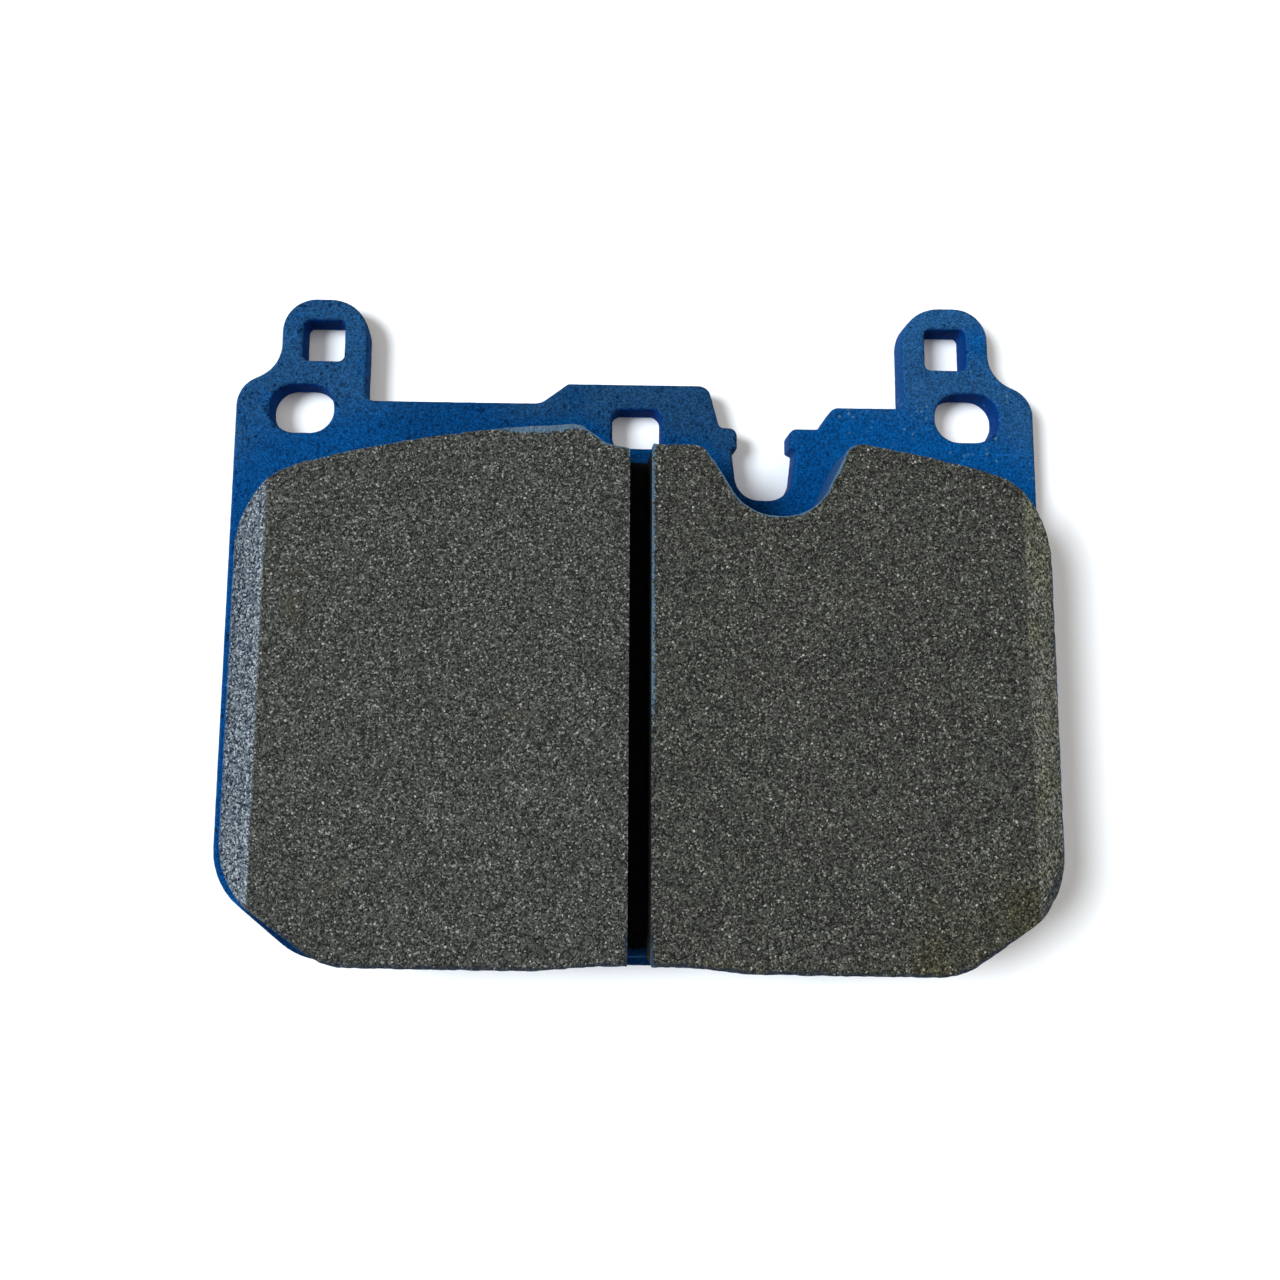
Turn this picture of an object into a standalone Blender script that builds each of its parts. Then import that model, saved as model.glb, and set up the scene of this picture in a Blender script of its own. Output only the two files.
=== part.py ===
"""Front disc brake pad for a fixed multi-piston caliper, lying on its back with the friction face up.

The backing plate's back is on Z = 0, the friction material rises along +Z, +X runs along the
pad's width and +Y points outward from the disc's centre, to the side with the two ears.
"""

import math

import bmesh
import bpy
from mathutils import Matrix, Vector

MM = 0.001

# ---------------------------------------------------------------- driving dimensions, millimetres
# Thicknesses, from the back of the plate upward. A bond gap separates pieces that touch.
PLATE_THICKNESS = 5.0
UNDERLAYER_THICKNESS = 1.9
FRICTION_THICKNESS = 10.0
BOND_GAP = 0.3

# Backing plate. Half widths are measured from the pad's centre line.
PLATE_HALF_WIDTH = 70.0
PLATE_BOTTOM = -57.0
PLATE_CORNER_Y = -44.8
PLATE_CORNER_X = 54.7
PLATE_CORNER_OUTER_RADIUS = 12.0
PLATE_CORNER_INNER_RADIUS = 12.0
PLATE_TOP = 38.55
SHOULDER_Y = 41.0
SHOULDER_RADIUS = 5.5
EAR_TOP = 57.0
EAR_OUTER_X = 62.45
EAR_INNER_X = 47.1
EAR_NECK_Y = 44.3
EAR_NECK_RADIUS = 6.3
EAR_OUTER_RADIUS = 6.0
EAR_INNER_RADIUS = 6.8
EAR_ROOT_RADIUS = 1.4
PLATE_EDGE_BREAK = 0.3

# Raised tab in the middle of the plate's top edge.
TAB_TOP = 42.15
TAB_LEFT_X = -11.7
TAB_LEFT_FOOT_X = -16.5
TAB_RIGHT_X = 13.0
TAB_RIGHT_FOOT_X = 15.0
TAB_LEFT_RADIUS = 0.6
TAB_RIGHT_RADIUS = 2.2
TAB_LEFT_FOOT_RADIUS = 3.0
TAB_RIGHT_FOOT_RADIUS = 0.9

# Keyhole notch for the wear sensor, open at the top, with a hook on each side of its neck.
NOTCH_X = 22.55
NOTCH_MOUTH_Y = 34.6
NOTCH_NECK_HALF = 4.5
NOTCH_BULB_HALF = 5.5
NOTCH_FLOOR_HALF = 4.5
NOTCH_FLOOR_Y = 21.7
NOTCH_HOOK_Y = 30.9
NOTCH_HOOK_DROP = 0.5
NOTCH_MOUTH_RADIUS = 1.5
NOTCH_HOOK_RADIUS = 0.35
NOTCH_FLOOR_RADIUS = 4.2
NOTCH_STEP_BOTTOM_X = 32.3
NOTCH_STEP_TOP_X = 34.9
NOTCH_STEP_BOTTOM_RADIUS = 1.0
NOTCH_STEP_TOP_RADIUS = 1.6

# Shallow relief in the middle of the bottom edge of the friction material. The plate's edge is straight.
RELIEF_DEPTH = 0.9
RELIEF_INNER_X = 7.0
RELIEF_OUTER_X = 17.0
RELIEF_RADIUS = 8.0

# Holes through the plate: (centre x, centre y, width, height, corner radius).
PIN_HOLE = (58.3, 36.85, 11.0, 8.5, 4.1)
SPRING_HOLE = (54.85, 49.25, 7.0, 7.2, 1.0)
MIDDLE_HOLE = (0.45, 34.0, 8.5, 6.8, 1.8)
RETENTION_HOLE_DIAMETER = 10.0
RETENTION_HOLE_X = (20.0, 50.0)
RETENTION_HOLE_Y = (8.0, -38.0)
PLUG_CLEARANCE = 0.3
PLUG_RECESS = 0.5

# Friction material, seen in plan. It sits slightly to one side of the plate's centre line.
FRICTION_SHIFT = 0.8
FRICTION_HALF_WIDTH = 67.5
FRICTION_BOTTOM = -56.2
TOP_ARC_CENTRE_Y = -184.4
TOP_ARC_RADIUS = 216.0
TOP_CORNER_X = 55.2
TOP_CORNER_RADIUS = 15.3
BOTTOM_CORNER_Y = -43.6
BOTTOM_CORNER_X = 49.6
BOTTOM_CORNER_OUTER_RADIUS = 13.0
BOTTOM_CORNER_INNER_RADIUS = 13.0
SLOT_LEFT_X = -2.4
SLOT_RIGHT_X = 1.2
SLOT_TOP_RADIUS = 0.6
SLOT_BOTTOM_RADIUS = 0.4
MIDDLE_STEP_Y = 28.1
MIDDLE_STEP_DIP = 0.8
MIDDLE_STEP_FOOT_X = 6.2
MIDDLE_STEP_TOP_X = 10.6
MIDDLE_STEP_FOOT_RADIUS = 2.0
MIDDLE_STEP_TOP_RADIUS = 2.6
POCKET_FLOOR_Y = 16.35
POCKET_LEFT_X = 17.0
POCKET_LEFT_LIP_X = 9.8
POCKET_RIGHT_X = 27.9
POCKET_RIGHT_LIP_X = 33.9
POCKET_RADIUS = 8.4
POCKET_LEFT_LIP_RADIUS = 4.0
POCKET_RIGHT_LIP_RADIUS = 2.8
CHAMFER_WIDTH = 5.9
CHAMFER_DEPTH = 3.4

# Facets per full turn on rounded corners, and along one side's stretch of the top arc.
FACETS_PER_TURN = 48
TOP_ARC_STEPS = 12

# ---------------------------------------------------------------- colours, linear RGB
PAINT_BLUE = (0.017, 0.112, 0.352)
UNDERLAYER_BLACK = (0.012, 0.012, 0.013)
FRICTION_GREY = (0.086, 0.086, 0.072)


def clear_scene():
    for existing in list(bpy.data.objects):
        bpy.data.objects.remove(existing, do_unlink=True)


def make_collection(name):
    collection = bpy.data.collections.new(name)
    bpy.context.scene.collection.children.link(collection)
    return collection


def make_material(name, colour, roughness, metallic):
    material = bpy.data.materials.new(name)
    material.use_nodes = True
    shader = material.node_tree.nodes["Principled BSDF"]
    shader.inputs["Base Color"].default_value = (*colour, 1.0)
    shader.inputs["Roughness"].default_value = roughness
    shader.inputs["Metallic"].default_value = metallic
    material.diffuse_color = (*colour, 1.0)
    return material


# ---------------------------------------------------------------- outlines
def rounded(corners):
    """Points of a closed outline. A corner is (x, y) or (x, y, fillet radius)."""
    points = []
    count = len(corners)
    for index, corner in enumerate(corners):
        here = Vector(corner[:2])
        radius = corner[2] if len(corner) > 2 else 0.0
        if radius == 0.0:
            points.append(here)
            continue
        to_last = (Vector(corners[index - 1][:2]) - here).normalized()
        to_next = (Vector(corners[(index + 1) % count][:2]) - here).normalized()
        half_angle = to_last.angle(to_next) / 2
        reach = radius / math.tan(half_angle)
        centre = here + (to_last + to_next).normalized() * radius / math.sin(half_angle)
        start = here + to_last * reach - centre
        end = here + to_next * reach - centre
        sweep = math.atan2(start.cross(end), start.dot(end))
        steps = max(2, math.ceil(abs(sweep) / math.tau * FACETS_PER_TURN))
        for step in range(steps + 1):
            points.append(centre + Matrix.Rotation(sweep * step / steps, 2) @ start)
    return points


def mirrored(corners):
    """The same corners on the other side of the centre line, in the order that keeps the turn."""
    return [(-corner[0], *corner[1:]) for corner in reversed(corners)]


def rounded_hole(centre_x, centre_y, width, height, radius):
    left, right = centre_x - width / 2, centre_x + width / 2
    low, high = centre_y - height / 2, centre_y + height / 2
    corners = [(left, low), (right, low), (right, high), (left, high)]
    return rounded([(*corner, radius) for corner in corners])


def circle(centre_x, centre_y, diameter):
    spot = Vector((centre_x, centre_y))
    turns = [math.tau * step / FACETS_PER_TURN for step in range(FACETS_PER_TURN)]
    return [spot + Vector((math.cos(turn), math.sin(turn))) * diameter / 2 for turn in turns]


def plate_flank():
    """Right side of the plate, from the bottom corner up and over the ear to its root."""
    return [
        (PLATE_CORNER_X, PLATE_BOTTOM, PLATE_CORNER_INNER_RADIUS),
        (PLATE_HALF_WIDTH, PLATE_CORNER_Y, PLATE_CORNER_OUTER_RADIUS),
        (PLATE_HALF_WIDTH, SHOULDER_Y, SHOULDER_RADIUS),
        (EAR_OUTER_X, EAR_NECK_Y, EAR_NECK_RADIUS),
        (EAR_OUTER_X, EAR_TOP, EAR_OUTER_RADIUS),
        (EAR_INNER_X, EAR_TOP, EAR_INNER_RADIUS),
        (EAR_INNER_X, PLATE_TOP, EAR_ROOT_RADIUS),
    ]


def sensor_notch():
    """The step down to the notch, the notch and the foot of the tab, from right to left."""
    right_half = [
        (NOTCH_NECK_HALF, NOTCH_MOUTH_Y, NOTCH_MOUTH_RADIUS),
        (NOTCH_NECK_HALF, NOTCH_HOOK_Y, NOTCH_HOOK_RADIUS),
        (NOTCH_BULB_HALF, NOTCH_HOOK_Y - NOTCH_HOOK_DROP, NOTCH_HOOK_RADIUS),
        (NOTCH_FLOOR_HALF, NOTCH_FLOOR_Y, NOTCH_FLOOR_RADIUS),
    ]
    notch = [(NOTCH_X + x, y, radius) for x, y, radius in right_half + mirrored(right_half)]
    step = [
        (NOTCH_STEP_TOP_X, PLATE_TOP, NOTCH_STEP_TOP_RADIUS),
        (NOTCH_STEP_BOTTOM_X, NOTCH_MOUTH_Y, NOTCH_STEP_BOTTOM_RADIUS),
    ]
    tab_foot = [(TAB_RIGHT_FOOT_X, NOTCH_MOUTH_Y, TAB_RIGHT_FOOT_RADIUS)]
    return step + notch + tab_foot


def bottom_relief(edge_y):
    """Right half of the shallow relief, for an edge whose outer stretches lie at edge_y."""
    return [
        (RELIEF_INNER_X, edge_y + RELIEF_DEPTH, RELIEF_RADIUS),
        (RELIEF_OUTER_X, edge_y, RELIEF_RADIUS),
    ]


def plate_outline():
    tab = [
        (TAB_RIGHT_X, TAB_TOP, TAB_RIGHT_RADIUS),
        (TAB_LEFT_X, TAB_TOP, TAB_LEFT_RADIUS),
        (TAB_LEFT_FOOT_X, PLATE_TOP, TAB_LEFT_FOOT_RADIUS),
    ]
    return rounded(plate_flank() + sensor_notch() + tab + mirrored(plate_flank()))


def retention_centres():
    columns = [side * x + FRICTION_SHIFT for side in (-1, 1) for x in RETENTION_HOLE_X]
    return [(x, y) for x in columns for y in RETENTION_HOLE_Y]


def plate_holes():
    holes = [rounded_hole(*MIDDLE_HOLE)]
    for side in (-1, 1):
        for centre_x, *rest in (PIN_HOLE, SPRING_HOLE):
            holes.append(rounded_hole(side * centre_x, *rest))
    holes += [circle(x, y, RETENTION_HOLE_DIAMETER) for x, y in retention_centres()]
    return holes


def top_arc_y(x):
    return TOP_ARC_CENTRE_Y + math.sqrt(TOP_ARC_RADIUS**2 - x**2)


def friction_flank(inner_x):
    """Right side of the friction material from the bottom relief up, then along the top arc inward."""
    slope = -TOP_CORNER_X / (top_arc_y(TOP_CORNER_X) - TOP_ARC_CENTRE_Y)
    corner_y = top_arc_y(TOP_CORNER_X) + slope * (FRICTION_HALF_WIDTH - TOP_CORNER_X)
    flank = bottom_relief(FRICTION_BOTTOM) + [
        (BOTTOM_CORNER_X, FRICTION_BOTTOM, BOTTOM_CORNER_INNER_RADIUS),
        (FRICTION_HALF_WIDTH, BOTTOM_CORNER_Y, BOTTOM_CORNER_OUTER_RADIUS),
        (FRICTION_HALF_WIDTH, corner_y, TOP_CORNER_RADIUS),
    ]
    for step in range(1, TOP_ARC_STEPS):
        x = TOP_CORNER_X + (inner_x - TOP_CORNER_X) * step / TOP_ARC_STEPS
        flank.append((x, top_arc_y(x)))
    return flank


def sensor_pocket():
    """The bay in the friction material around the sensor notch, from right to left."""
    return [
        (POCKET_RIGHT_LIP_X, top_arc_y(POCKET_RIGHT_LIP_X), POCKET_RIGHT_LIP_RADIUS),
        (POCKET_RIGHT_X, POCKET_FLOOR_Y, POCKET_RADIUS),
        (POCKET_LEFT_X, POCKET_FLOOR_Y, POCKET_RADIUS),
        (POCKET_LEFT_LIP_X, MIDDLE_STEP_Y, POCKET_LEFT_LIP_RADIUS),
    ]


def middle_step():
    """Top corner next to the middle hole, from the step's foot outward, for the left segment."""
    return [
        (MIDDLE_STEP_FOOT_X, MIDDLE_STEP_Y, MIDDLE_STEP_FOOT_RADIUS),
        (MIDDLE_STEP_TOP_X, top_arc_y(MIDDLE_STEP_TOP_X), MIDDLE_STEP_TOP_RADIUS),
    ]


def right_boundary():
    return friction_flank(POCKET_RIGHT_LIP_X) + sensor_pocket()


def left_boundary():
    return mirrored(friction_flank(MIDDLE_STEP_TOP_X) + list(reversed(middle_step())))


def right_segment_outline():
    inner = [
        (SLOT_RIGHT_X, MIDDLE_STEP_Y, SLOT_TOP_RADIUS),
        (SLOT_RIGHT_X, FRICTION_BOTTOM + RELIEF_DEPTH, SLOT_BOTTOM_RADIUS),
    ]
    return rounded(right_boundary() + inner)


def left_segment_outline():
    inner = [
        (SLOT_LEFT_X, FRICTION_BOTTOM + RELIEF_DEPTH, SLOT_BOTTOM_RADIUS),
        (SLOT_LEFT_X, MIDDLE_STEP_Y - MIDDLE_STEP_DIP, SLOT_TOP_RADIUS),
    ]
    return rounded(inner + left_boundary())


def underlayer_outline():
    return rounded(right_boundary() + left_boundary())


# ---------------------------------------------------------------- solids
def flat_piece(name, outlines, base_z, thickness, collection, shift_x=0.0):
    """A flat piece from closed outlines in plan. Outlines after the first are holes."""
    curve = bpy.data.curves.new(name + "_outline", "CURVE")
    curve.dimensions = "2D"
    curve.fill_mode = "BOTH"
    curve.extrude = thickness / 2 * MM
    for outline in outlines:
        spline = curve.splines.new("POLY")
        spline.points.add(len(outline) - 1)
        for point, spot in zip(spline.points, outline):
            point.co = (spot.x * MM, spot.y * MM, 0.0, 1.0)
        spline.use_cyclic_u = True
    drawn = bpy.data.objects.new(name + "_outline", curve)
    drawn.location = (shift_x * MM, 0.0, (base_z + thickness / 2) * MM)
    collection.objects.link(drawn)
    bpy.context.view_layer.update()
    evaluated = drawn.evaluated_get(bpy.context.evaluated_depsgraph_get())
    mesh = bpy.data.meshes.new_from_object(evaluated)
    welded = bmesh.new()
    welded.from_mesh(mesh)
    bmesh.ops.remove_doubles(welded, verts=welded.verts, dist=1e-6)
    bmesh.ops.recalc_face_normals(welded, faces=welded.faces)
    welded.to_mesh(mesh)
    welded.free()
    mesh.name = name
    piece = bpy.data.objects.new(name, mesh)
    piece.matrix_world = drawn.matrix_world.copy()
    collection.objects.link(piece)
    bpy.data.objects.remove(drawn, do_unlink=True)
    bpy.data.curves.remove(curve)
    return piece


def make_cutter(piece, collection):
    collection.objects.link(piece)
    piece.display_type = "WIRE"
    piece.hide_render = True


def add_boolean(target, tool, operation, name):
    boolean = target.modifiers.new(name, "BOOLEAN")
    boolean.operation = operation
    boolean.solver = "EXACT"
    boolean.object = tool


def make_plate(collection, paint):
    outlines = [plate_outline()] + plate_holes()
    plate = flat_piece("backing_plate", outlines, 0.0, PLATE_THICKNESS, collection)
    plate.data.materials.append(paint)
    edge_break = plate.modifiers.new("edge_break", "BEVEL")
    edge_break.width = PLATE_EDGE_BREAK * MM
    edge_break.segments = 1
    edge_break.limit_method = "ANGLE"
    edge_break.angle_limit = math.radians(60)


def make_underlayer(collection, cutters, black):
    base_z = PLATE_THICKNESS + BOND_GAP
    outlines = [underlayer_outline()]
    layer = flat_piece(
        "underlayer", outlines, base_z, UNDERLAYER_THICKNESS, collection, FRICTION_SHIFT
    )
    layer.data.materials.append(black)
    radius = RETENTION_HOLE_DIAMETER / 2 - PLUG_CLEARANCE
    plug_top = base_z + UNDERLAYER_THICKNESS / 2
    depth = plug_top - PLUG_RECESS
    plugs = bmesh.new()
    for centre_x, centre_y in retention_centres():
        bmesh.ops.create_cone(
            plugs,
            cap_ends=True,
            segments=FACETS_PER_TURN,
            radius1=radius * MM,
            radius2=radius * MM,
            depth=depth * MM,
            matrix=Matrix.Translation(Vector((centre_x, centre_y, PLUG_RECESS + depth / 2)) * MM),
        )
    mesh = bpy.data.meshes.new("moulding_plugs")
    plugs.to_mesh(mesh)
    plugs.free()
    tool = bpy.data.objects.new("moulding_plugs", mesh)
    make_cutter(tool, cutters)
    add_boolean(layer, tool, "UNION", "moulding_plugs")


def make_chamfer_cutter(side, top_z, cutters):
    """A block turned to the chamfer's slope, whose lower face is the chamfer plane."""
    slope = math.atan2(CHAMFER_DEPTH, CHAMFER_WIDTH)
    length, block = 160.0, 12.0
    corner_x = side * (FRICTION_HALF_WIDTH - CHAMFER_WIDTH) + FRICTION_SHIFT
    middle = Vector((corner_x + side * CHAMFER_WIDTH / 2, 0.0, top_z - CHAMFER_DEPTH / 2))
    outward = Vector((side * math.sin(slope), 0.0, math.cos(slope)))
    cube = bmesh.new()
    bmesh.ops.create_cube(cube, size=1.0)
    mesh = bpy.data.meshes.new("chamfer_cutter")
    cube.to_mesh(mesh)
    cube.free()
    cutter = bpy.data.objects.new("chamfer_cutter", mesh)
    cutter.scale = (3 * block * MM, length * MM, block * MM)
    cutter.rotation_euler = (0.0, side * slope, 0.0)
    cutter.location = (middle + outward * block / 2) * MM
    make_cutter(cutter, cutters)
    return cutter


def make_segment(name, outline, side, collection, cutters, grey):
    base_z = PLATE_THICKNESS + UNDERLAYER_THICKNESS + 2 * BOND_GAP
    segment = flat_piece(name, [outline], base_z, FRICTION_THICKNESS, collection, FRICTION_SHIFT)
    segment.data.materials.append(grey)
    cutter = make_chamfer_cutter(side, base_z + FRICTION_THICKNESS, cutters)
    add_boolean(segment, cutter, "DIFFERENCE", "end_chamfer")


def main():
    clear_scene()
    pad = make_collection("brake_pad")
    cutters = make_collection("cutters")
    paint = make_material("blue_paint", PAINT_BLUE, 0.5, 0.0)
    black = make_material("underlayer_black", UNDERLAYER_BLACK, 0.9, 0.0)
    left_grey = make_material("friction_grey_left", FRICTION_GREY, 0.9, 0.0)
    right_grey = make_material("friction_grey_right", FRICTION_GREY, 0.9, 0.0)
    make_plate(pad, paint)
    make_underlayer(pad, cutters, black)
    make_segment("friction_segment_left", left_segment_outline(), -1, pad, cutters, left_grey)
    make_segment("friction_segment_right", right_segment_outline(), 1, pad, cutters, right_grey)


main()
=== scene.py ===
"""The finished look of the brake pad: a painted stamped plate with two grainy friction segments.

Lengths are in millimetres here and become metres only where vertices, lights and the camera are made.
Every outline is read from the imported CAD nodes, so that the pieces stay in the frame's own places.
"""

import math

import bmesh
import bpy
import numpy as np
from mathutils import Matrix, Vector
from mathutils.geometry import delaunay_2d_cdt


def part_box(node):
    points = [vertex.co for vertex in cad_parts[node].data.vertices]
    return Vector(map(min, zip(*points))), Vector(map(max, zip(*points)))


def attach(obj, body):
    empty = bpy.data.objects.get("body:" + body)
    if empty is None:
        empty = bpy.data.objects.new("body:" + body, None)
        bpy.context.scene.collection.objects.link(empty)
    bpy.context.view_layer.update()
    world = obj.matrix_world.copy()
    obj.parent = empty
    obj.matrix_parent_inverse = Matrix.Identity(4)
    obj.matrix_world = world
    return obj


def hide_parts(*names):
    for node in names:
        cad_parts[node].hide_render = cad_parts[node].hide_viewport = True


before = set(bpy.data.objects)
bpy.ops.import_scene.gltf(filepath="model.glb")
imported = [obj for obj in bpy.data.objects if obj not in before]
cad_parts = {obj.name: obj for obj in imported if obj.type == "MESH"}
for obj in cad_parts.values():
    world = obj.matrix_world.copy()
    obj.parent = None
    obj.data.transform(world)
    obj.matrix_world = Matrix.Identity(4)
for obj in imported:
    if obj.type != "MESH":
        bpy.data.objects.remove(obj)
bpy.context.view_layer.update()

MM = 0.001

# ---------------------------------------------------------------- sizes taken from the frame
PLATE_TOP_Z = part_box("backing_plate")[1].z / MM
LEFT_LOW, LEFT_HIGH = (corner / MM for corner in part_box("friction_segment_left"))
RIGHT_LOW, RIGHT_HIGH = (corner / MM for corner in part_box("friction_segment_right"))
FRICTION_BASE_Z, FACE_Z = LEFT_LOW.z, LEFT_HIGH.z
LAYER_MIDDLE_Z = (PLATE_TOP_Z + FRICTION_BASE_Z) / 2
BLOCK_CENTRE_X = (LEFT_LOW.x + RIGHT_HIGH.x) / 2
BLOCK_HALF_WIDTH = (RIGHT_HIGH.x - LEFT_LOW.x) / 2
SLOT_LEFT_X, SLOT_RIGHT_X = LEFT_HIGH.x, RIGHT_LOW.x
SLOT_MIDDLE_X = (SLOT_LEFT_X + SLOT_RIGHT_X) / 2
LAYER_LOW_Z = PLATE_TOP_Z + 0.02
LAYER_HIGH_Z = FRICTION_BASE_Z + 0.05

# ---------------------------------------------------------------- surface and edge sizes
SLOT_LOW_Y, SLOT_HIGH_Y = -55.3, 27.7  # ends of the centre slot
SLOT_WALL_REACH = 2.2  # the slot's walls lie nearer than this to its middle
CHAMFER_WIDTH = 5.9
CHAMFER_DEPTH = 3.4
PLATE_PROFILE = (  # height above the back, distance in from the outline
    (0.0, 0.34),
    (0.1, 0.1),
    (0.32, 0.0),
    (1.4, 0.0),
    (2.5, 0.0),
    (3.6, 0.0),
    (4.3, 0.03),
    (4.65, 0.13),
    (4.87, 0.3),
    (4.97, 0.5),
    (5.0, 0.75),
)
PLATE_EDGE_SPACING = 0.5
PLATE_FACE_SPACING = 0.5
PLATE_HIDDEN_SPACING = 4.0
PLATE_HIDDEN_MARGIN = 2.0
ORANGE_PEEL = 0.05
SHEAR_MARKS = 0.05
PIT_DEPTH = 0.1
GRAIN_SPACING = 0.36
GRAIN_RELIEF = 0.09
CHAMFER_RELIEF = 0.08
RIM_DROPS = (0.0, 0.12, 0.34, 0.75)
RIM_INSETS = (0.17, 0.07, 0.02, 0.0)
RIM_CRUMBLE = 0.2
SLOT_RIM_SHARE = 0.1
WALL_RING_HEIGHT = 0.8
WALL_ROUGHNESS = 0.16
WALL_CUT_BELOW_MIDDLE = 2.0  # the wall's outline is read this far below the block's middle
SEAM = 0.06
LAYER_PROFILE = (  # height above the back, distance in from the outline
    (LAYER_LOW_Z, 0.12),
    (LAYER_LOW_Z + 0.2, 0.02),
    (6.2, 0.0),
    (LAYER_HIGH_Z - 0.25, 0.03),
    (LAYER_HIGH_Z, 0.16),
)
LAYER_EDGE_SPACING = 0.6
LAYER_FACE_SPACING = 0.45
LAYER_RIM_CLEARANCE = 0.3
LAYER_ROUGHNESS = 0.12
LAYER_FINE_ROUGHNESS = 0.1
PLUG_PROFILE = (  # height above the back, distance out from the plug's outline
    (LAYER_LOW_Z, 0.22),
    (0.9, 0.22),
    (0.62, 0.05),
)
PLUG_TIP_Z = 0.5
RIM_CLEARANCE = 0.6  # least distance of inner points from an outline, in point spacings
SHARP_ANGLE = 50.0  # degrees

FLOOR_HALF_SIZE = 6.0  # metres
FLOOR_GREY = 0.93
LIGHTS = (  # name, azimuth, elevation, strength, spread, colour
    ("window_left", 174.0, 48.0, 1.45, 26.0, (0.87, 0.94, 1.0)),
    ("overhead", 90.0, 80.0, 0.16, 60.0, (1.0, 1.0, 1.0)),
    ("fill_right", 10.0, 42.0, 0.3, 40.0, (1.0, 0.92, 0.80)),
    ("dome", 0.0, 90.0, 0.09, 150.0, (1.0, 1.0, 1.0)),
)
CAMERA_PLACE = Vector((-15.32, -24.68, 210.36))
CAMERA_TARGET = Vector((-15.36, 3.61, 8.75))
CAMERA_UP = Vector((-0.0156, 0.9902, 0.139))
CAMERA_LENS = 34.03
CAMERA_SENSOR = 36.0
CAMERA_SHIFT = (0.075, -0.034)
CAMERA_NEAR = 0.01  # metres

NOISE_LATTICE = 512


# ---------------------------------------------------------------- outlines
def chained(edges):
    """The closed loop of vertices that each group of joined edges forms."""
    left = set(edges)
    loops = []
    while left:
        edge = left.pop()
        first, here = edge.verts
        loop = [first, here]
        while True:
            following = next((e for e in here.link_edges if e in left), None)
            if following is None:
                break
            left.discard(following)
            here = following.other_vert(here)
            loop.append(here)
        loops.append(loop[:-1] if loop[-1] is first else loop)
    return loops


def without_straight_points(loop):
    """Drops the points where an outline doesn't turn."""
    before = loop - np.roll(loop, 1, axis=0)
    after = np.roll(loop, -1, axis=0) - loop
    turn = before[:, 0] * after[:, 1] - before[:, 1] * after[:, 0]
    length = np.linalg.norm(before, axis=1) * np.linalg.norm(after, axis=1)
    return loop[np.abs(turn) > 0.002 * length]


def signed_area(loop):
    ahead = np.roll(loop, -1, axis=0)
    return 0.5 * float(np.sum(loop[:, 0] * ahead[:, 1] - ahead[:, 0] * loop[:, 1]))


def settled(loop):
    """The same outline run anticlockwise from its leftmost point, so that every run shapes it alike."""
    loop = loop if signed_area(loop) > 0 else loop[::-1]
    first = np.lexsort((loop[:, 1].round(3), loop[:, 0].round(3)))[0]
    return np.roll(loop, -first, axis=0)


def section(node, height):
    """Outlines of a CAD node cut level at a height. The material lies to the left of each one."""
    cut = bmesh.new()
    cut.from_mesh(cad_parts[node].data)
    bmesh.ops.remove_doubles(cut, verts=cut.verts, dist=1e-6)
    bmesh.ops.bisect_plane(
        cut,
        geom=cut.verts[:] + cut.edges[:] + cut.faces[:],
        plane_co=(0.0, 0.0, height * MM),
        plane_no=(0.0, 0.0, 1.0),
        clear_inner=True,
        clear_outer=True,
    )
    loops = [np.array([vert.co[:2] for vert in loop]) / MM for loop in chained(cut.edges)]
    cut.free()
    loops = [settled(without_straight_points(loop)) for loop in loops if len(loop) > 3]
    loops.sort(key=lambda loop: (-signed_area(loop), *loop[0]))
    holes = [np.roll(loop[::-1], 1, axis=0) for loop in loops[1:]]
    holes.sort(key=lambda hole: tuple(hole[0].round(2)))
    return [loops[0]] + holes


def divided(loop, spacing):
    """The same outline with points at most the given spacing apart."""
    points = []
    for here, ahead in zip(loop, np.roll(loop, -1, axis=0)):
        steps = max(1, math.ceil(np.linalg.norm(ahead - here) / spacing))
        points += [here + (ahead - here) * step / steps for step in range(steps)]
    return np.array(points)


def evenly(loop, spacing):
    """The outline again with points the same distance apart all along it."""
    closed = np.concatenate((loop, loop[:1]))
    along = np.concatenate(([0.0], np.cumsum(np.linalg.norm(np.diff(closed, axis=0), axis=1))))
    stations = np.linspace(0.0, along[-1], round(along[-1] / spacing), endpoint=False)
    return np.column_stack([np.interp(stations, along, closed[:, axis]) for axis in (0, 1)])


def inward(loop):
    """For each point, the step into the material that moves both its edges by one millimetre."""
    ahead = np.roll(loop, -1, axis=0) - loop
    ahead /= np.linalg.norm(ahead, axis=1)[:, None]
    left = np.stack((-ahead[:, 1], ahead[:, 0]), axis=1)
    both = left + np.roll(left, 1, axis=0)
    both /= np.linalg.norm(both, axis=1)[:, None]
    stretch = np.clip(np.sum(both * left, axis=1), 0.6, 1.0)
    return both / stretch[:, None]


def room(loop):
    """How far each point can move inward before it would pass the middle of a tight outer corner."""
    ahead = np.roll(loop, -1, axis=0) - loop
    behind = loop - np.roll(loop, 1, axis=0)
    length = (np.linalg.norm(ahead, axis=1) + np.linalg.norm(behind, axis=1)) / 2
    across = behind[:, 0] * ahead[:, 1] - behind[:, 1] * ahead[:, 0]
    turn = np.arctan2(across, (behind * ahead).sum(axis=1))
    radius = np.where(turn > 0.02, length / np.maximum(turn, 0.02), 50.0)
    apart = np.linalg.norm(loop[:, None, :] - loop[None, :, :], axis=2)
    return (0.7 * radius[None, :] + 0.5 * apart).min(axis=1)


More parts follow.
